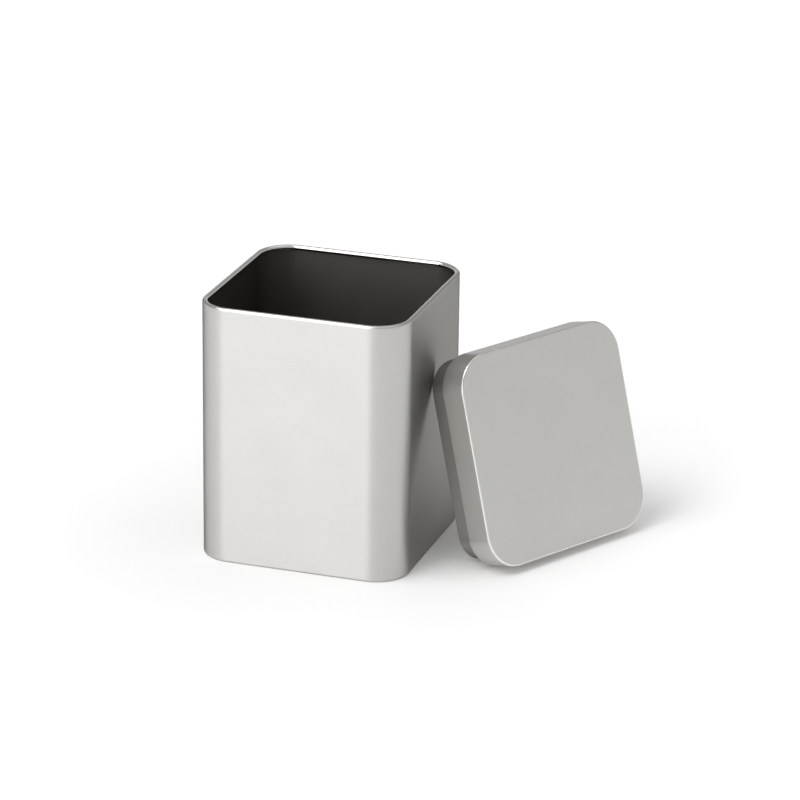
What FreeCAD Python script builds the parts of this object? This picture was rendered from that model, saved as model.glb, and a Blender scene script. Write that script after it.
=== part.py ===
"""Square tea tin with its plug lid taken off and leant against it.

Units are millimetres. +Z is up and the tin stands on z = 0, with the middle of its base at the origin.
The tin and the lid are each one piece of formed sheet steel. A block with the outer form of the piece
is hollowed out to the thickness of the sheet, and its open edge ends in a roll of the same sheet.
"""
import FreeCAD, Part
import math
import os
import re

import Sketcher
from FreeCAD import Placement, Rotation, Vector

# Every size that can be set by itself, in millimetres or degrees.
SIZES = [
    ("width", 76.0),             # across the flat sides of the tin, and of the lid's cap band
    ("tin_height", 94.0),        # from the floor to the top of the rolled rim
    ("corner_radius", 12.6),     # outer radius of the upright corners of the tin and the lid
    ("sheet", 0.3),              # thickness of the tinplate
    ("rim_roll", 2.0),           # outer diameter of the tin's rim, which is rolled inwards
    ("rim_turn", 290.0),         # how far round the rim is rolled
    ("foot_radius", 0.8),        # outer radius along the bottom edge of the tin
    ("foot_width", 2.6),         # flat ring that the tin stands on, in from the wall
    ("base_recess", 1.0),        # height of the base panel above the floor
    ("step_radius", 0.4),        # radius at both edges of the step up to the base panel
    ("cap_height", 10.7),        # band of the lid that is flush with the tin
    ("plug_height", 8.0),        # band of the lid that goes into the tin
    ("plug_clearance", 0.25),    # gap on each side between the plug and the tin's rolled rim
    ("top_radius", 0.6),         # outer radius round the flat top of the lid
    ("shoulder_radius", 0.5),    # outer radius at the lower edge of the cap band
    ("neck_radius", 0.5),        # hollow radius where the shoulder turns down into the plug
    ("hem_roll", 0.9),           # outer diameter of the hem rolled inwards along the plug's edge
    ("hem_turn", 215.0),         # how far round the hem is rolled
    ("lid_yaw", 60.4),           # the lid's top faces this far round from -Y towards +X
    ("lid_lean", 16.3),          # the lid leans back this far from upright
    ("touch_along", -1.6),       # the lid touches the tin's +X wall this far along Y
    ("touch_gap", 0.02),         # air left where the lid meets the tin
]
# The plug is smaller than the cap by the tin's rolled rim and the clearance on each side.
PLUG_INSET = "rim_roll + plug_clearance"
ORIGIN = (-1, 1)
START, END, CENTRE = 1, 2, 3
ALIKE = 0.001

document = FreeCAD.newDocument("tea_tin")
sheet = document.addObject("Spreadsheet::Sheet", "Sizes")
for row, (alias, value) in enumerate(SIZES, start=1):
    sheet.set(f"A{row}", alias)
    sheet.set(f"B{row}", str(value))
    sheet.setAlias(f"B{row}", alias)
document.recompute()


def size(expression):
    """The value of a cell of the sheet, or of a sum of cells."""
    return float(sheet.evalExpression(expression))


def from_sheet(expression):
    """The same expression, written for an object outside the sheet."""
    return re.sub(r"([a-z_]+)", r"Sizes.\1", expression)


# ---- sketches ------------------------------------------------------------------------------------

def new_sketch(body, name, role, lift="0"):
    """An empty sketch on one of the body's origin planes, raised off it by lift."""
    sketch = body.newObject("Sketcher::SketchObject", name)
    plane = next(item for item in body.Origin.OriginFeatures if item.Role == role)
    sketch.AttachmentSupport = [(plane, "")]
    sketch.MapMode = "FlatFace"
    sketch.setExpression("AttachmentOffset.Base.z", from_sheet(lift))
    return sketch


def bind(sketch, kind, *where, expression, name):
    """Add a named dimension that takes its value from the sheet."""
    sketch.addConstraint(Sketcher.Constraint(kind, *where, size(expression)))
    sketch.renameConstraint(sketch.ConstraintCount - 1, name)
    sketch.setExpression(f"Constraints.{name}", from_sheet(expression))


def rounded_square(body, name, lift, half_width, corner_radius):
    """A sketch of a square about the origin with four round corners."""
    sketch = new_sketch(body, name, "XY_Plane", lift)
    half, radius = size(half_width), size(corner_radius)
    flat = half - radius
    lines, arcs = [], []
    for quarter in range(4):
        turn = Rotation(Vector(0, 0, 1), 90 * quarter)
        side = Part.LineSegment(turn * Vector(half, -flat, 0), turn * Vector(half, flat, 0))
        circle = Part.Circle(turn * Vector(flat, flat, 0), Vector(0, 0, 1), radius)
        begin = math.pi / 2 * quarter
        lines.append(sketch.addGeometry(side))
        arcs.append(sketch.addGeometry(Part.ArcOfCircle(circle, begin, begin + math.pi / 2)))
    for line, arc, following in zip(lines, arcs, lines[1:] + lines[:1]):
        sketch.addConstraint(Sketcher.Constraint("Tangent", line, END, arc, START))
        sketch.addConstraint(Sketcher.Constraint("Tangent", arc, END, following, START))
    for line, direction in zip(lines, ("Vertical", "Horizontal", "Vertical", "Horizontal")):
        sketch.addConstraint(Sketcher.Constraint(direction, line))
    for arc in arcs[1:]:
        sketch.addConstraint(Sketcher.Constraint("Equal", arcs[0], arc))
    places = (("DistanceX", ""), ("DistanceY", ""), ("DistanceX", "-"), ("DistanceY", "-"))
    for number, (line, (kind, sign)) in enumerate(zip(lines, places)):
        bind(sketch, kind, *ORIGIN, line, START, expression=f"{sign}({half_width})", name=f"side{number}")
    bind(sketch, "Radius", arcs[0], expression=corner_radius, name="corner")
    return sketch


def rolled_section(body, name, across, up, diameter, turn, rises):
    """A sketch of the section of a rolled edge: the sheet bent round the point (across, up).

    The roll leaves the wall on its outer side, level with that point. It goes up and over where the
    wall rises to it, and down and under where the wall hangs from above.
    """
    sketch = new_sketch(body, name, "XZ_Plane")
    centre = Vector(size(across), size(up), 0)
    outer = size(diameter) / 2
    inner = outer - size("sheet")
    turned = math.radians(size(turn))
    if rises:
        first, last, root_end, free_end = 0, turned, START, END
        away = Vector(math.cos(turned), math.sin(turned), 0)
    else:
        first, last, root_end, free_end = -turned, 0, END, START
        away = Vector(math.cos(turned), -math.sin(turned), 0)
    level = Vector(1, 0, 0)
    outside, inside = [
        sketch.addGeometry(Part.ArcOfCircle(Part.Circle(centre, Vector(0, 0, 1), radius), first, last))
        for radius in (outer, inner)
    ]
    root, tip = [
        sketch.addGeometry(Part.LineSegment(centre + ray * inner, centre + ray * outer))
        for ray in (level, away)
    ]
    sketch.addConstraint(Sketcher.Constraint("Coincident", outside, CENTRE, inside, CENTRE))
    for arc, point in ((inside, START), (outside, END)):
        sketch.addConstraint(Sketcher.Constraint("Coincident", root, point, arc, root_end))
        sketch.addConstraint(Sketcher.Constraint("Coincident", tip, point, arc, free_end))
    sketch.addConstraint(Sketcher.Constraint("Horizontal", root))
    for line in (root, tip):
        sketch.addConstraint(Sketcher.Constraint("PointOnObject", outside, CENTRE, line))
    bind(sketch, "DistanceX", *ORIGIN, outside, CENTRE, expression=across, name="across")
    bind(sketch, "DistanceY", *ORIGIN, outside, CENTRE, expression=up, name="up")
    bind(sketch, "Radius", outside, expression=f"{diameter} / 2", name="outer")
    bind(sketch, "Radius", inside, expression=f"{diameter} / 2 - sheet", name="inner")
    bind(sketch, "Angle", outside, expression=turn, name="turn")
    return sketch


# ---- features ------------------------------------------------------------------------------------

def add(body, kind, name, bound, **settings):
    """Add one feature, with bound giving the properties that follow the sheet, and recompute."""
    feature = body.newObject(f"PartDesign::{kind}", name)
    for prop, value in settings.items():
        setattr(feature, prop, value)
    for prop, expression in bound.items():
        feature.setExpression(prop, from_sheet(expression))
    document.recompute()
    return feature


def edge_loop(shape, height, reach):
    """Names of the edges at one height whose farthest reach from the axis along X or Y is at most this."""
    names = []
    for number, edge in enumerate(shape.Edges, start=1):
        box = edge.BoundBox
        level = abs(box.ZMin - height) < ALIKE and abs(box.ZMax - height) < ALIKE
        if level and max(-box.XMin, box.XMax, -box.YMin, box.YMax) < reach + ALIKE:
            names.append(f"Edge{number}")
    return names


def round_edges(body, name, height, reach, radius, inside_of=None):
    """Round the loop of edges at one height, leaving out a smaller loop at the same height."""
    base = body.Tip
    names = edge_loop(base.Shape, size(height), size(reach))
    if inside_of:
        smaller = edge_loop(base.Shape, size(height), size(inside_of))
        names = [edge for edge in names if edge not in smaller]
    return add(body, "Fillet", name, {"Radius": radius}, Base=(base, names))


def hollow_out(body, height):
    """Leave only the sheet, open at the flat face at this height."""
    base = body.Tip
    for number, face in enumerate(base.Shape.Faces, start=1):
        box = face.BoundBox
        if abs(box.ZMin - size(height)) < ALIKE and abs(box.ZMax - size(height)) < ALIKE:
            mouth = f"Face{number}"
    return add(body, "Thickness", "formed_sheet", {"Value": "sheet"}, Base=(base, [mouth]), Reversed=True)


def sweep_round(body, name, section, spine):
    """Sweep a section once round a closed sketch."""
    path = [f"Edge{number}" for number in range(1, len(spine.Shape.Edges) + 1)]
    return add(body, "AdditivePipe", name, {}, Profile=section, Spine=(spine, path))


# ---- the tin -------------------------------------------------------------------------------------

def make_tin():
    body = document.addObject("PartDesign::Body", "tin")
    wall_top = "tin_height - rim_roll / 2"
    outline = rounded_square(body, "outline", "0", "width / 2", "corner_radius")
    add(body, "Pad", "block", {"Length": wall_top}, Profile=outline)
    panel_reach = "width / 2 - foot_width"
    panel = rounded_square(body, "base_panel", "0", panel_reach, "corner_radius - foot_width")
    solid_block = body.Tip.Shape.Volume
    recess = add(body, "Pocket", "base_step", {"Length": "base_recess"}, Profile=panel, Reversed=True)
    if recess.Shape.Volume >= solid_block:
        raise RuntimeError("the step under the base cut nothing")
    round_edges(body, "foot_edge", "0", "width / 2", "foot_radius", inside_of=panel_reach)
    round_edges(body, "step_foot", "0", panel_reach, "step_radius")
    round_edges(body, "step_panel", "base_recess", panel_reach, "step_radius")
    hollow_out(body, wall_top)
    section = rolled_section(
        body, "rim_section", "width / 2 - rim_roll / 2", wall_top, "rim_roll", "rim_turn", rises=True
    )
    sweep_round(body, "rolled_rim", section, outline)
    return body


# ---- the lid, made with its open side down on its own z = 0 ----------------------------------------

def make_lid():
    body = document.addObject("PartDesign::Body", "lid")
    plug_reach = f"width / 2 - ({PLUG_INSET})"
    lid_top = "plug_height + cap_height"
    mouth = "hem_roll / 2"
    plug = rounded_square(body, "plug_outline", mouth, plug_reach, f"corner_radius - ({PLUG_INSET})")
    add(body, "Pad", "plug_block", {"Length": f"plug_height - {mouth}"}, Profile=plug)
    cap = rounded_square(body, "cap_outline", "plug_height", "width / 2", "corner_radius")
    add(body, "Pad", "cap_block", {"Length": "cap_height"}, Profile=cap)
    round_edges(body, "shoulder", "plug_height", "width / 2", "shoulder_radius", inside_of=plug_reach)
    round_edges(body, "neck", "plug_height", plug_reach, "neck_radius")
    round_edges(body, "top_edge", lid_top, "width / 2", "top_radius")
    hollow_out(body, mouth)
    section = rolled_section(
        body, "hem_section", f"{plug_reach} - hem_roll / 2", mouth, "hem_roll", "hem_turn", rises=False
    )
    sweep_round(body, "rolled_hem", section, plug)
    return body


def lid_rims():
    """The lid's three rounded rims: level of each, half width and corner radius of its middle line, tube."""
    rims = []
    for level, inset, tube in (
        ("hem_roll / 2", f"{PLUG_INSET} + hem_roll / 2", "hem_roll / 2"),
        ("plug_height + shoulder_radius", "shoulder_radius", "shoulder_radius"),
        ("plug_height + cap_height - top_radius", "top_radius", "top_radius"),
    ):
        half = size(f"width / 2 - ({inset})")
        rims.append((size(level), half, size(f"corner_radius - ({inset})"), size(tube)))
    return rims


def farthest_point(rotation, direction):
    """The point of the turned lid that reaches farthest along a direction."""
    along = rotation.inverted() * direction
    flat = math.hypot(along.x, along.y)
    points = []
    for level, half, corner, tube in lid_rims():
        point = Vector(0, 0, level) + along * tube
        for axis, share in (("x", along.x), ("y", along.y)):
            out = math.copysign(half - corner, share) if abs(share) > ALIKE else 0
            setattr(point, axis, getattr(point, axis) + out + corner * share / flat)
        points.append(rotation * point)
    return max(points, key=lambda point: point.dot(direction))


def lean_lid(body):
    """Stand the lid on its side on the floor, leaning back until it touches the tin's +X wall."""
    upright = 90 - size("lid_lean")
    rotation = Rotation(Vector(0, 0, 1), size("lid_yaw")) * Rotation(Vector(1, 0, 0), upright)
    lowest = farthest_point(rotation, Vector(0, 0, -1))
    touching = farthest_point(rotation, Vector(-1, 0, 0))
    place = Vector(
        size("width / 2 + touch_gap") - touching.x,
        size("touch_along") - touching.y,
        -lowest.z,
    )
    body.Placement = Placement(place, rotation)


tin = make_tin()
lid = make_lid()
lean_lid(lid)
document.recompute()

for item in document.Objects:
    if "Invalid" in item.State or "Error" in item.State:
        raise RuntimeError(f"{item.Name} failed: {item.State}")
    if item.TypeId == "Sketcher::SketchObject" and not item.FullyConstrained:
        raise RuntimeError(f"{item.Name} has a size that nothing sets")

os.makedirs("parts", exist_ok=True)
for body in (tin, lid):
    shape = body.Shape
    if shape.isNull() or not shape.isValid() or len(shape.Solids) != 1:
        raise RuntimeError(f"{body.Label} is not one valid solid")
    shape.exportStep(f"parts/{body.Label}.step")
    box = shape.optimalBoundingBox()
    print(body.Label, round(shape.Volume, 2), box)
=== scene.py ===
"""Looks of the square tea tin and of its plug lid, which leans against it.

Blender units are metres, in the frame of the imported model. The two CAD nodes are each replaced by a
finer mesh of the same section, swept round the same rounded square.
"""
import math

import bpy
from mathutils import Matrix, Vector


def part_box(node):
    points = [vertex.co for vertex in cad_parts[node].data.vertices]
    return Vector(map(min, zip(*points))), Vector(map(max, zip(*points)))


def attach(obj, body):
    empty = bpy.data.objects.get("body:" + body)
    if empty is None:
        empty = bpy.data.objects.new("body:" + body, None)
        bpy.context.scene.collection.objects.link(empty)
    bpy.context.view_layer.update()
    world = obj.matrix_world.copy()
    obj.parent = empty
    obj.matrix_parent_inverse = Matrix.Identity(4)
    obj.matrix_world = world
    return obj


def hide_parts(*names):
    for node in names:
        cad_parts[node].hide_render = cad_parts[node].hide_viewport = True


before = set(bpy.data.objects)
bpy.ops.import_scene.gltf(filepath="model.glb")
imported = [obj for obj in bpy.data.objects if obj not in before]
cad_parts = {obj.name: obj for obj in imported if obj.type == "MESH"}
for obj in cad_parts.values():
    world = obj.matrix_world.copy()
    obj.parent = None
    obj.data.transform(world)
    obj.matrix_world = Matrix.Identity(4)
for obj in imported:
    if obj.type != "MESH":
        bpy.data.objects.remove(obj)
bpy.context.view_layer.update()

MM = 0.001

# The sizes of the part, in millimetres and degrees, as its source has them.
WIDTH = 76.0
TIN_HEIGHT = 94.0
CORNER_RADIUS = 12.6
SHEET = 0.3
RIM_ROLL = 2.0
RIM_TURN = 290.0
FOOT_RADIUS = 0.8
FOOT_WIDTH = 2.6
BASE_RECESS = 1.0
STEP_RADIUS = 0.4
CAP_HEIGHT = 10.7
PLUG_HEIGHT = 8.0
PLUG_INSET = 2.25
TOP_RADIUS = 0.6
SHOULDER_RADIUS = 0.5
NECK_RADIUS = 0.5
HEM_ROLL = 0.9
HEM_TURN = 215.0
LID_YAW = 60.4
LID_LEAN = 16.3

# How far round the rim, in degrees, the rolling starts to burnish the sheet, and where the lighter rolled
# skin with its painted highlight begins.
ROLL_START = 60.0

# How finely the meshes are divided: steps round a corner and along a side, rings round a flat panel,
# millimetres between the rings of a wall, and degrees between the points of a bend.
CORNER_STEPS = 28
SIDE_STEPS = 14
FACE_RINGS = 5
WALL_STEP = 4.0
BEND_STEP = 9.0
FEWEST_BEND_STEPS = 4

# Neighbouring faces that turn more than this, as the distance between unit vectors, meet at a sharp edge.
SHARP_TURN = 0.02


# ---- sections ------------------------------------------------------------------------------------
# A section is a list of pieces of surface. Each piece is (skin, points), and each point is
# (inset, height, normal inset, normal height): how far it lies in from the sides of the square, how
# high it is, and which way the surface faces there.

def flat_run(skin, begin, end, faces):
    """A straight piece of a section."""
    count = max(1, round(math.dist(begin, end) / WALL_STEP))
    points = []
    for i in range(count + 1):
        t = i / count
        points.append((
            begin[0] + (end[0] - begin[0]) * t,
            begin[1] + (end[1] - begin[1]) * t,
            faces[0],
            faces[1],
        ))
    return skin, points


def round_run(skin, centre, radius, begin, end, hollow=False):
    """A round piece of a section, by its angles in degrees from outwards through up.

    The surface faces away from the centre, or towards it where it is hollow.
    """
    count = max(FEWEST_BEND_STEPS, round(abs(end - begin) / BEND_STEP))
    side = -1 if hollow else 1
    points = []
    for i in range(count + 1):
        angle = math.radians(begin + (end - begin) * i / count)
        across, up = -math.cos(angle), math.sin(angle)
        points.append((centre[0] + radius * across, centre[1] + radius * up, side * across, side * up))
    return skin, points


def tin_section():
    """The tin's section, from the middle of the base underneath, over the rim, to the middle inside."""
    rim = RIM_ROLL / 2
    level = TIN_HEIGHT - rim
    step_out = FOOT_WIDTH + STEP_RADIUS
    low = BASE_RECESS - STEP_RADIUS
    foot_in = FOOT_WIDTH - STEP_RADIUS
    turned = math.radians(RIM_TURN)
    tip_across, tip_up = -math.cos(turned), math.sin(turned)
    tip = [(rim + r * tip_across, level + r * tip_up) for r in (rim, rim - SHEET)]
    return [
        round_run("outside", (step_out, low), STEP_RADIUS, 90, 0, hollow=True),
        flat_run("outside", (FOOT_WIDTH, low), (FOOT_WIDTH, STEP_RADIUS), (1, 0)),
        round_run("outside", (foot_in, STEP_RADIUS), STEP_RADIUS, 180, 270),
        flat_run("outside", (foot_in, 0), (FOOT_RADIUS, 0), (0, -1)),
        round_run("outside", (FOOT_RADIUS, FOOT_RADIUS), FOOT_RADIUS, -90, 0),
        flat_run("outside", (0, FOOT_RADIUS), (0, level), (-1, 0)),
        round_run("outside", (rim, level), rim, 0, ROLL_START),
        round_run("rolled", (rim, level), rim, ROLL_START, RIM_TURN),
        flat_run("rolled", tip[0], tip[1], (tip_up, -tip_across)),
        round_run("inside", (rim, level), rim - SHEET, RIM_TURN, 0, hollow=True),
        flat_run("inside", (SHEET, level), (SHEET, FOOT_RADIUS), (1, 0)),
        round_run("inside", (FOOT_RADIUS, FOOT_RADIUS), FOOT_RADIUS - SHEET, 0, -90, hollow=True),
        flat_run("inside", (FOOT_RADIUS, SHEET), (foot_in, SHEET), (0, 1)),
        round_run("inside", (foot_in, STEP_RADIUS), STEP_RADIUS - SHEET, 270, 180, hollow=True),
        flat_run("inside", (FOOT_WIDTH - SHEET, STEP_RADIUS), (FOOT_WIDTH - SHEET, low), (-1, 0)),
        round_run("inside", (step_out, low), STEP_RADIUS + SHEET, 0, 90),
    ]


def lid_section():
    """The lid's section on its own, open side down: from the middle of the top to the middle inside."""
    top = PLUG_HEIGHT + CAP_HEIGHT
    crown = top - TOP_RADIUS
    shelf = PLUG_HEIGHT + SHOULDER_RADIUS
    neck = (PLUG_INSET - NECK_RADIUS, PLUG_HEIGHT - NECK_RADIUS)
    hem = HEM_ROLL / 2
    hem_in = PLUG_INSET + hem
    turned = math.radians(-HEM_TURN)
    tip_across, tip_up = -math.cos(turned), math.sin(turned)
    tip = [(hem_in + r * tip_across, hem + r * tip_up) for r in (hem, hem - SHEET)]
    return [
        round_run("edge", (TOP_RADIUS, crown), TOP_RADIUS, 90, 0),
        flat_run("outside", (0, crown), (0, shelf), (-1, 0)),
        round_run("outside", (SHOULDER_RADIUS, shelf), SHOULDER_RADIUS, 0, -90),
        flat_run("outside", (SHOULDER_RADIUS, PLUG_HEIGHT), (neck[0], PLUG_HEIGHT), (0, -1)),
        round_run("plug", neck, NECK_RADIUS, 90, 180, hollow=True),
        flat_run("plug", (PLUG_INSET, neck[1]), (PLUG_INSET, hem), (-1, 0)),
        round_run("plug", (hem_in, hem), hem, 0, -HEM_TURN),
        flat_run("plug", tip[0], tip[1], (-tip_up, tip_across)),
        round_run("inside", (hem_in, hem), hem - SHEET, -HEM_TURN, 0, hollow=True),
        flat_run("inside", (PLUG_INSET + SHEET, hem), (PLUG_INSET + SHEET, neck[1]), (1, 0)),
        round_run("inside", neck, NECK_RADIUS + SHEET, 180, 90),
        flat_run("inside", (neck[0], PLUG_HEIGHT + SHEET), (SHOULDER_RADIUS, PLUG_HEIGHT + SHEET), (0, 1)),
        round_run("inside", (SHOULDER_RADIUS, shelf), SHOULDER_RADIUS - SHEET, -90, 0, hollow=True),
        flat_run("inside", (SHEET, shelf), (SHEET, crown), (1, 0)),
        round_run("inside", (TOP_RADIUS, crown), TOP_RADIUS - SHEET, 0, 90, hollow=True),
    ]


# ---- meshes --------------------------------------------------------------------------------------

def stations():
    """Once round the square, anticlockwise: (anchor, way out, distance walked along the sides).

    The point at inset s of a station lies CORNER_RADIUS - s out from its anchor.
    """
    inner = WIDTH / 2 - CORNER_RADIUS
    walked, places = 0.0, []
    for cos, sin in ((1, 0), (0, 1), (-1, 0), (0, -1)):
        def turn(x, y):
            return x * cos - y * sin, x * sin + y * cos

        for i in range(SIDE_STEPS):
            y = 2 * inner * i / SIDE_STEPS
            places.append((turn(inner, y - inner), turn(1, 0), walked + y))
        walked += 2 * inner
        for i in range(CORNER_STEPS):
            angle = math.pi / 2 * i / CORNER_STEPS
            way = turn(math.cos(angle), math.sin(angle))
            places.append((turn(inner, inner), way, walked + CORNER_RADIUS * angle))
        walked += CORNER_RADIUS * math.pi / 2
    places.append((places[0][0], places[0][1], walked))
    return places


class Skin:
    """Collects the faces of one formed sheet, and makes the object."""

    def __init__(self, section, downwards, panels):
        self.downwards = downwards
        self.places = stations()
        self.index, self.points = {}, []
        self.faces, self.normals, self.uvs, self.skins = [], [], [], []
        self.bends = {}
        walked = 0.0
        for skin, run in section:
            for a, b in zip(run, run[1:]):
                length = math.dist(a[:2], b[:2])
                self.band(skin, a, b, walked, walked + length)
                walked += length
            if run[0][2:] != run[-1][2:]:
                for i, (inset, height, *_) in enumerate(run):
                    self.bends[round(inset, 3), round(height, 3)] = math.sin(math.pi * i / (len(run) - 1))
        first, last = section[0][1][0], section[-1][1][-1]
        self.panel(panels[0], first, ends=False)
        self.panel(panels[1], last, ends=True)

    def vertex(self, x, y, z):
        key = (round(x, 4), round(y, 4), round(z, 4))
        if key not in self.index:
            self.index[key] = len(self.points)
            self.points.append((x, y, z))
        return self.index[key]

    def corner(self, place, point):
        """Where a section's point is at one station, and the way the surface faces there."""
        anchor, way, _ = place
        reach = CORNER_RADIUS - point[0]
        spot = (anchor[0] + way[0] * reach, anchor[1] + way[1] * reach, point[1])
        facing = (-way[0] * point[2], -way[1] * point[2], point[3])
        return spot, facing

    def face(self, skin, corners):
        """Add a face from (spot, facing, uv) corners, anticlockwise as seen from outside."""
        if self.downwards:
            corners = corners[::-1]
        kept, seen = [], set()
        for spot, facing, uv in corners:
            number = self.vertex(*spot)
            if number not in seen:
                seen.add(number)
                kept.append((number, facing, uv))
        if len(kept) > 2:
            self.faces.append([k[0] for k in kept])
            self.normals.append([k[1] for k in kept])
            self.uvs.append([k[2] for k in kept])
            self.skins.append(skin)

    def band(self, skin, a, b, low, high):
        """The faces between two neighbouring points of the section, once round."""
        for here, there in zip(self.places, self.places[1:]):
            self.face(skin, [
                (*self.corner(here, a), (here[2], low)),
                (*self.corner(there, a), (there[2], low)),
                (*self.corner(there, b), (there[2], high)),
                (*self.corner(here, b), (here[2], high)),
            ])

    def panel(self, skin, edge, ends):
        """The flat panel inside one end of the section: rings, then a square grid."""
        inset, height = edge[:2]
        up = (0, 0, 1 if (edge[3] > 0) else -1)
        step = (CORNER_RADIUS - inset) / FACE_RINGS

        def at(place, s):
            spot = self.corner(place, (s, height, 0, 0))[0]
            return spot, up, (spot[0], spot[1])

        for ring in range(FACE_RINGS):
            outer, inner = inset + step * ring, inset + step * (ring + 1)
            if not ends:
                outer, inner = inner, outer
            for here, there in zip(self.places, self.places[1:]):
                self.face(skin, [at(here, outer), at(there, outer), at(there, inner), at(here, inner)])
        half = WIDTH / 2 - CORNER_RADIUS
        marks = [2 * half * i / SIDE_STEPS - half for i in range(SIDE_STEPS + 1)]
        for x0, x1 in zip(marks, marks[1:]):
            for y0, y1 in zip(marks, marks[1:]):
                square = [(x0, y0), (x1, y0), (x1, y1), (x0, y1)]
                if (up[2] < 0) != self.downwards:
                    square.reverse()
                self.face(skin, [((x, y, height), up, (x, y)) for x, y in square])

    def bent(self, point):
        """How far into a bend of the sheet a point of the mesh is, from 0 to 1."""
        x, y, z = point
        inner = WIDTH / 2 - CORNER_RADIUS
        over = math.hypot(max(0, abs(x) - inner), max(0, abs(y) - inner))
        return self.bends.get((round(CORNER_RADIUS - over, 3), round(z, 3)), 0.0)

    def make(self, name, materials, matrix=None):
        """The finished object, moved by matrix, in metres."""
        mesh = bpy.data.meshes.new(name)
        mesh.from_pydata([[c * MM for c in p] for p in self.points], [], self.faces)
        names = list(materials)
        for material in materials.values():
            mesh.materials.append(material)
        mesh.polygons.foreach_set("use_smooth", [True] * len(self.faces))
        mesh.polygons.foreach_set("material_index", [names.index(s) for s in self.skins])
        grain = mesh.uv_layers.new(name="grain")
        grain.data.foreach_set("uv", [c for face in self.uvs for uv in face for c in uv])
        formed = mesh.attributes.new("formed", "FLOAT", "POINT")
        formed.data.foreach_set("value", [self.bent(p) for p in self.points])
        self.sharpen(mesh)
        mesh.normals_split_custom_set([n for face in self.normals for n in face])
        if matrix:
            mesh.transform(matrix)
        made = bpy.data.objects.new(name, mesh)
        bpy.context.scene.collection.objects.link(made)
        return made

    def sharpen(self, mesh):
        """Mark as sharp the edges where the two sides face different ways."""
        sides = {}
        for face, normals in zip(self.faces, self.normals):
            for i, number in enumerate(face):
                j = (i + 1) % len(face)
                key = (min(number, face[j]), max(number, face[j]))
                pair = (normals[i], normals[j]) if number < face[j] else (normals[j], normals[i])
                sides.setdefault(key, []).append(pair)
        for edge in mesh.edges:
            pairs = sides[tuple(sorted(edge.vertices))]
            if len(pairs) == 2:
                turned = max(math.dist(pairs[0][k], pairs[1][k]) for k in (0, 1))
                edge.use_edge_sharp = turned > SHARP_TURN


# ---- materials -----------------------------------------------------------------------------------

class Nodes:
    """Short calls for building a node tree."""

    def __init__(self, tree):
        self.tree = tree
        tree.nodes.clear()

    def add(self, kind, settings=None, **inputs):
        """Add a node. Inputs are numbers, colours or other nodes' sockets, by the socket's name.

        An input called i0, i1 and so on is found by its number.
        """
        made = self.tree.nodes.new("ShaderNode" + kind)
        for key, value in (settings or {}).items():
            setattr(made, key, value)
        for key, value in inputs.items():
            name = key.replace("_", " ")
            socket = made.inputs[int(name[1:])] if name[1:].isdigit() else made.inputs[name]
            if isinstance(value, bpy.types.NodeSocket):
                self.tree.links.new(value, socket)
            else:
                socket.default_value = value
        return made

    def math(self, operation, a, b):
        return self.add("Math", {"operation": operation}, i0=a, i1=b).outputs[0]

    def spread(self, value, low, high, to_low, to_high, smooth=False):
        """A value carried from one range to another, and kept inside it."""
        kind = {"interpolation_type": "SMOOTHSTEP"} if smooth else {}
        made = self.add("MapRange", kind, Value=value)
        for number, edge in enumerate((low, high, to_low, to_high), start=1):
            made.inputs[number].default_value = edge
        return made.outputs["Result"]


# The reflection at a glancing angle is tinted dark: a painted shade that stands in for dim surroundings in
# the satin skin's reflections.
GLANCE_PAINTED_SHADE = (0.16, 0.158, 0.148, 1)
NO_TINT = (1, 1, 1, 1)

# How often the grain changes in a millimetre: along the way the sheet was rolled, then across it.
FINE_GRAIN = (0.09, 7.0, 1.0)
WIDE_GRAIN = (0.02, 1.1, 1.0)

# How often these change in a metre: mottling of the tin coat, specks of dust under it, grit finer than
# the eye parts, which shifts the colour a little, and swells in a sheet that is never flat.
MOTTLE = 70.0
SPECKS = 190.0
GRIT = 2200.0
SWELLS = 28.0

# How far each takes the colour up and down, and how dark a speck and how light a bend is.
FINE_TONE = 0.005
WIDE_TONE = 0.006
GRIT_TONE = 0.012
MOTTLE_TONE = 0.015
SPECK_TONE = 0.95
BEND_TONE = 1.04

# How far each takes the roughness up and down, and what a bend and a speck add to it.
FINE_ROUGHNESS = 0.006
MOTTLE_ROUGHNESS = 0.012
BEND_ROUGHNESS = -0.05
SPECK_ROUGHNESS = 0.1

# Most of a noise lies between the first two. The fine grain's roughness takes the wider two.
NOISE_LOW, NOISE_HIGH = 0.3, 0.7
WIDER_LOW, WIDER_HIGH = 0.25, 0.75

# How far from its middle a speck is whole and where it ends, as parts of the spacing of specks.
SPECK_WHOLE, SPECK_END = 0.03, 0.055

# How strong the relief of the swells and of the fine grain is, and how high it is in metres.
SWELL_STRENGTH, SWELL_HEIGHT = 0.35, 0.00025
GRAIN_STRENGTH, GRAIN_HEIGHT = 0.03, 0.00001

# The sheen is stretched across the grain: a quarter of a turn from it.
QUARTER_TURN = 0.25


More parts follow.
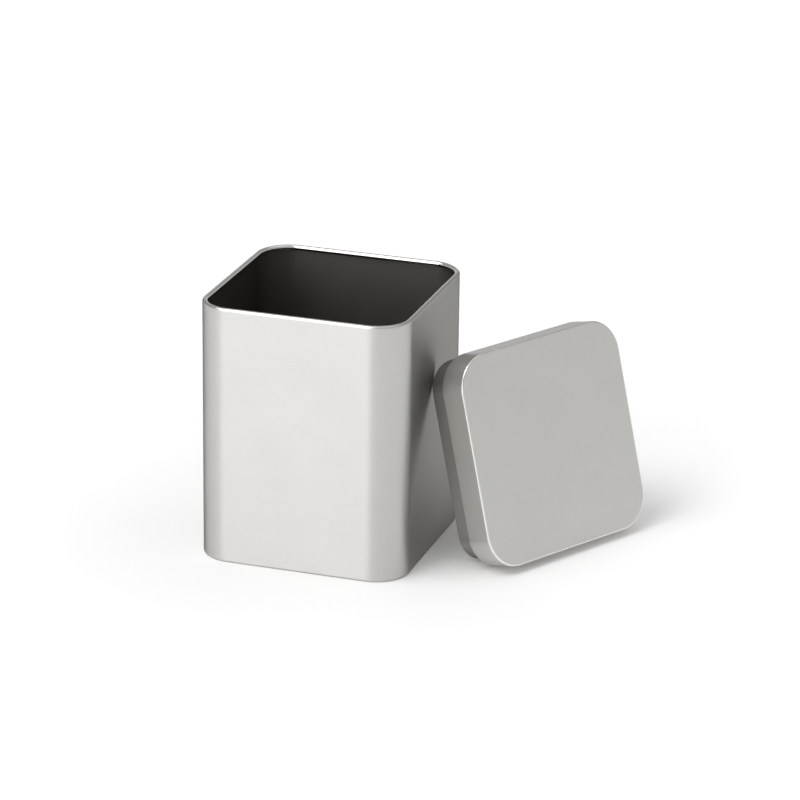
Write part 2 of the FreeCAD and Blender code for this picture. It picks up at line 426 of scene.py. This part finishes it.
class Sheet:
    """The patterns of tinplate in one material, each from 0 to 1."""

    def __init__(self, nodes):
        uv = nodes.add("UVMap", {"uv_map": "grain"}).outputs["UV"]
        solid = nodes.add("TexCoord").outputs["Object"]

        def noise(place, scale, detail, roughness):
            made = nodes.add("TexNoise", Vector=place, Scale=scale, Detail=detail, Roughness=roughness)
            return made.outputs["Fac"]

        fine_place = nodes.add("Mapping", Vector=uv, Scale=FINE_GRAIN).outputs["Vector"]
        wide_place = nodes.add("Mapping", Vector=uv, Scale=WIDE_GRAIN).outputs["Vector"]
        self.fine = noise(fine_place, scale=1.0, detail=3.0, roughness=0.6)
        self.wide = noise(wide_place, scale=1.0, detail=2.0, roughness=0.5)
        self.mottle = noise(solid, MOTTLE, detail=3.0, roughness=0.55)
        self.grit = noise(solid, GRIT, detail=1.0, roughness=0.5)
        self.swell = noise(solid, SWELLS, detail=1.0, roughness=0.4)
        cells = nodes.add("TexVoronoi", {"feature": "F1"}, Vector=solid, Scale=SPECKS, Randomness=1.0)
        away = cells.outputs["Distance"]
        self.speck = nodes.spread(away, SPECK_WHOLE, SPECK_END, 1.0, 0.0, smooth=True)
        self.bend = nodes.add("Attribute", {"attribute_name": "formed"}).outputs["Fac"]


def sheet_tone(nodes, sheet):
    """What the sheet's patterns multiply its colour by."""
    tone = nodes.spread(sheet.fine, NOISE_LOW, NOISE_HIGH, 1 - FINE_TONE, 1 + FINE_TONE)
    for pattern, swing in ((sheet.grit, GRIT_TONE), (sheet.wide, WIDE_TONE), (sheet.mottle, MOTTLE_TONE)):
        change = nodes.spread(pattern, NOISE_LOW, NOISE_HIGH, 1 - swing, 1 + swing)
        tone = nodes.math("MULTIPLY", tone, change)
    tone = nodes.math("MULTIPLY", tone, nodes.spread(sheet.speck, 0.0, 1.0, 1.0, SPECK_TONE))
    return nodes.math("MULTIPLY", tone, nodes.spread(sheet.bend, 0.0, 1.0, 1.0, BEND_TONE))


def sheet_roughness(nodes, sheet, roughness):
    """The sheet's roughness with its patterns in it."""
    low, high = roughness - FINE_ROUGHNESS, roughness + FINE_ROUGHNESS
    rough = nodes.spread(sheet.fine, WIDER_LOW, WIDER_HIGH, low, high)
    mottle = nodes.spread(sheet.mottle, NOISE_LOW, NOISE_HIGH, -MOTTLE_ROUGHNESS, MOTTLE_ROUGHNESS)
    rough = nodes.math("ADD", rough, mottle)
    rough = nodes.math("ADD", rough, nodes.spread(sheet.bend, 0.0, 1.0, 0.0, BEND_ROUGHNESS))
    return nodes.math("ADD", rough, nodes.spread(sheet.speck, 0.0, 1.0, 0.0, SPECK_ROUGHNESS))


def tinplate(name, colour, roughness, stretch, glance=GLANCE_PAINTED_SHADE, bare=1.0):
    """Satin tinplate, with a sheen that the grain stretches across itself, up the walls.

    Glance tints what it reflects at a glancing angle, by default darker as a painted shade, and bare is
    the share of it that acts as metal.
    """
    material = bpy.data.materials.new(name)
    material.use_nodes = True
    nodes = Nodes(material.node_tree)
    sheet = Sheet(nodes)
    tint = nodes.add("Mix", {"data_type": "RGBA", "blend_type": "MULTIPLY"}, Factor=1.0)
    tint.inputs[6].default_value = (*colour, 1)
    material.node_tree.links.new(sheet_tone(nodes, sheet), tint.inputs[7])
    bump = nodes.add("Bump", Strength=SWELL_STRENGTH, Distance=SWELL_HEIGHT, Height=sheet.swell)
    relief = bump.outputs["Normal"]
    bump = nodes.add(
        "Bump", Strength=GRAIN_STRENGTH, Distance=GRAIN_HEIGHT, Height=sheet.fine, Normal=relief
    )
    along = nodes.add("Tangent", {"direction_type": "UV_MAP", "uv_map": "grain"}).outputs["Tangent"]
    shader = nodes.add(
        "BsdfPrincipled",
        Base_Color=tint.outputs[2], Metallic=bare, Roughness=sheet_roughness(nodes, sheet, roughness),
        Normal=bump.outputs["Normal"], Anisotropic=stretch, Tangent=along, Specular_Tint=glance,
    )
    shader.inputs["Anisotropic Rotation"].default_value = QUARTER_TURN
    nodes.add("OutputMaterial", Surface=shader.outputs["BSDF"])
    return material


def seen(nodes):
    """1 for rays that show the background: from the camera, a reflection or something clear."""
    path = nodes.add("LightPath").outputs
    shown = nodes.math("ADD", path["Is Camera Ray"], path["Is Glossy Ray"])
    shown = nodes.math("ADD", shown, path["Is Transmission Ray"])
    return nodes.math("MINIMUM", shown, 1.0)


# ---- the tin and the lid ---------------------------------------------------------------------------

# The walls take the default glancing tint, a painted shade on their glancing reflections.
walls = tinplate("tinplate_outside", (0.61, 0.606, 0.588), 0.41, 0.78)
# The rolled rim is smoother, burnished sheet, and its lighter colour is partly a painted highlight.
rolled = tinplate("tinplate_rolled_burnish_and_painted_highlight", (0.74, 0.735, 0.71), 0.10, 0.2, NO_TINT)
# The lid's rounded edge is smoother, burnished sheet too, and its lighter colour is partly a painted
# highlight.
edge = tinplate("tinplate_edge_burnish_and_painted_highlight", (0.80, 0.795, 0.77), 0.29, 0.3, NO_TINT)
# The lid's top is a lighter copy of the band's sheet: painted light on the lid's face.
top = tinplate("tinplate_top_painted_light", (0.70, 0.692, 0.661), 0.42, 0.62, NO_TINT)
band = tinplate("tinplate_band", (0.59, 0.583, 0.558), 0.36, 0.62, NO_TINT)
# The plug's darker colour is painted shade, for the recess under the cap and the tin beside it.
plug = tinplate("tinplate_plug_painted_shade", (0.41, 0.405, 0.387), 0.42, 0.62)
# The inside's near-black colour is painted shade: the same sheet as the outside, darkened for the little
# light inside the tin.
inside = tinplate("tinplate_inside_painted_shade", (0.18, 0.175, 0.155), 0.36, 0.5, bare=0.83)
lid_inside = tinplate("tinplate_lid_inside", (0.62, 0.615, 0.595), 0.42, 0.5, NO_TINT, bare=0.85)

tin_skins = {"outside": walls, "rolled": rolled, "inside": inside}
tin = Skin(tin_section(), downwards=False, panels=("outside", "inside")).make("tin_body", tin_skins)
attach(tin, "root")
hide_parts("tin")

# The lid is leant and turned in its own frame, then moved to where the CAD has it.
lid_yaw = Matrix.Rotation(math.radians(LID_YAW), 4, "Z")
lid_lean = Matrix.Rotation(math.radians(90 - LID_LEAN), 4, "X")
lid_skins = {"top": top, "edge": edge, "outside": band, "plug": plug, "inside": lid_inside}
lid = Skin(lid_section(), downwards=True, panels=("top", "inside")).make(
    "lid_body", lid_skins, lid_yaw @ lid_lean
)
spots = [v.co for v in lid.data.vertices]
low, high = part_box("lid")
shift = [
    (low[k] + high[k]) / 2 - (min(p[k] for p in spots) + max(p[k] for p in spots)) / 2 for k in range(3)
]
lid.data.transform(Matrix.Translation(shift))
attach(lid, "root")
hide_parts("lid")


# ---- floor, light and camera -----------------------------------------------------------------------

FLOOR_RADIUS = 12.0
FLOOR_SIDES = 96
FLOOR_DROP = 0.00002
PAPER = (0.93, 0.93, 0.93, 1)

# The paper's tooth: how often it changes in a metre, how strong its relief is, and how high in metres.
TOOTH = 900.0
TOOTH_STRENGTH, TOOTH_HEIGHT = 0.05, 0.0001

# What the floor glows with where the background is seen, near the tin and further off, and how far
# from the tin's axis, in metres, the glow starts and stops growing. The weaker glow near the tin is a
# painted shade round the tin and the lid.
NEAR_LIFT = 0.06
FAR_LIFT = 0.16
LIFT_START = 0.05
LIFT_STOP = 0.16


def make_floor():
    """A wide round floor of matt white paper, just under the tin."""
    turns = [2 * math.pi * i / FLOOR_SIDES for i in range(FLOOR_SIDES)]
    rim = [(FLOOR_RADIUS * math.cos(t), FLOOR_RADIUS * math.sin(t), -FLOOR_DROP) for t in turns]
    mesh = bpy.data.meshes.new("floor")
    mesh.from_pydata(rim, [], [list(range(FLOOR_SIDES))])
    material = bpy.data.materials.new("floor_paper")
    material.use_nodes = True
    nodes = Nodes(material.node_tree)
    place = nodes.add("TexCoord").outputs["Object"]
    tooth = nodes.add("TexNoise", Vector=place, Scale=TOOTH, Detail=2.0).outputs["Fac"]
    bump = nodes.add("Bump", Strength=TOOTH_STRENGTH, Distance=TOOTH_HEIGHT, Height=tooth)
    paper = nodes.add("BsdfDiffuse", Color=PAPER, Normal=bump.outputs["Normal"])
    away = nodes.add("VectorMath", {"operation": "LENGTH"}, i0=place).outputs["Value"]
    # The glow is weaker near the tin: a painted shade round the tin and the lid.
    lift = nodes.spread(away, LIFT_START, LIFT_STOP, NEAR_LIFT, FAR_LIFT, smooth=True)
    glow = nodes.add("Emission", Color=(1, 1, 1, 1), Strength=nodes.math("MULTIPLY", seen(nodes), lift))
    both = nodes.add("AddShader", i0=paper.outputs[0], i1=glow.outputs[0])
    nodes.add("OutputMaterial", Surface=both.outputs[0])
    mesh.materials.append(material)
    floor = bpy.data.objects.new("floor", mesh)
    bpy.context.scene.collection.objects.link(floor)


make_floor()


def direction(azimuth, elevation):
    """A unit vector. Azimuth 0 points to -Y and 90 to +X; elevation is above the floor."""
    a, e = math.radians(azimuth), math.radians(elevation)
    return Vector((math.sin(a) * math.cos(e), -math.cos(a) * math.cos(e), math.sin(e)))


LAMP_DISTANCE = 10.0
LAMP_AIM_HEIGHT = 0.05


def softbox(name, azimuth, elevation, width, height, radiance):
    """A flat lamp that faces the tin. Radiance is how bright its face looks, 1 being white."""
    lamp = bpy.data.lights.new(name, "AREA")
    lamp.shape, lamp.size, lamp.size_y = "RECTANGLE", width, height
    lamp.energy = radiance * math.pi * width * height
    held = bpy.data.objects.new(name, lamp)
    away = direction(azimuth, elevation)
    held.location = away * LAMP_DISTANCE + Vector((0, 0, LAMP_AIM_HEIGHT))
    held.rotation_mode = "QUATERNION"
    held.rotation_quaternion = away.to_track_quat("Z", "Y")
    held.visible_camera = False
    bpy.context.scene.collection.objects.link(held)


softbox("key", azimuth=-44, elevation=56, width=6.6, height=5.6, radiance=4.2)
softbox("front", azimuth=-21, elevation=20, width=6.2, height=6.8, radiance=1.75)
softbox("overhead", azimuth=90, elevation=80, width=13.0, height=13.0, radiance=0.46)

# The world's light: all over, and what the level of the eye adds in front and behind. The side that
# the lid is on gets a share of that.
SKY_GLOW = 0.36
HORIZON_GLOW = 0.46
BACK_GLOW = 0.30
FAR_SIDE = 0.86
# As parts of a unit vector: where the front turns into the back, where the far side begins and is
# full, and how high the level of the eye stays bright and where it ends.
FRONT, BACK = -0.85, 0.1
NEAR_EDGE, FAR_EDGE = 0.0, 0.6
BRIGHT_BELOW, DIM_ABOVE = 0.08, 0.42


def make_world():
    """A studio that is pale at the level of the eye, mostly in front, and dimmer higher up."""
    world = bpy.data.worlds.new("studio")
    bpy.context.scene.world = world
    world.use_nodes = True
    nodes = Nodes(world.node_tree)
    way = nodes.add("TexCoord").outputs["Generated"]
    across, depth, height = nodes.add("SeparateXYZ", Vector=way).outputs
    horizon = nodes.spread(depth, FRONT, BACK, HORIZON_GLOW, BACK_GLOW)
    side = nodes.spread(across, NEAR_EDGE, FAR_EDGE, 1.0, FAR_SIDE, smooth=True)
    level = nodes.spread(height, BRIGHT_BELOW, DIM_ABOVE, 1.0, 0.0, smooth=True)
    glow = nodes.math("MULTIPLY", level, nodes.math("MULTIPLY", horizon, side))
    glow = nodes.math("ADD", glow, SKY_GLOW)
    back = nodes.add("Background", Color=(1, 1, 1, 1), Strength=glow)
    nodes.add("OutputWorld", Surface=back.outputs[0])


make_world()

# The camera, in degrees, metres and millimetres of lens. It aims right of and above a point on the
# tin's axis.
CAMERA_AZIMUTH = 18.2375
CAMERA_ELEVATION = 20.4024
CAMERA_ROLL = 0.7061
CAMERA_REACH = 1.41424
CAMERA_LENS = 180.0
CAMERA_SENSOR = 36.0
AIM_HEIGHT = 0.0456
AIM_RIGHT = 0.024145
AIM_UP = 0.004883

# The nearest and furthest that the camera sees, in metres.
CLIP_NEAR, CLIP_FAR = 0.05, 100.0


def make_camera():
    """The camera looks past a point on the tin's axis, which it sees left of and below the middle."""
    back = direction(CAMERA_AZIMUTH, CAMERA_ELEVATION)
    level = Vector((math.cos(math.radians(CAMERA_AZIMUTH)), math.sin(math.radians(CAMERA_AZIMUTH)), 0))
    up = back.cross(level)
    roll = math.radians(CAMERA_ROLL)
    right = level * math.cos(roll) + up * math.sin(roll)
    top = up * math.cos(roll) - level * math.sin(roll)
    spot = Vector((0, 0, AIM_HEIGHT)) + right * AIM_RIGHT + top * AIM_UP + back * CAMERA_REACH
    lens = bpy.data.cameras.new("camera")
    lens.sensor_width, lens.lens = CAMERA_SENSOR, CAMERA_LENS
    lens.clip_start, lens.clip_end = CLIP_NEAR, CLIP_FAR
    held = bpy.data.objects.new("camera", lens)
    turn = Matrix((right, top, back)).transposed()
    held.matrix_world = Matrix.Translation(spot) @ turn.to_4x4()
    bpy.context.scene.collection.objects.link(held)
    bpy.context.scene.camera = held


make_camera()
bpy.context.scene.view_settings.view_transform = "Standard"
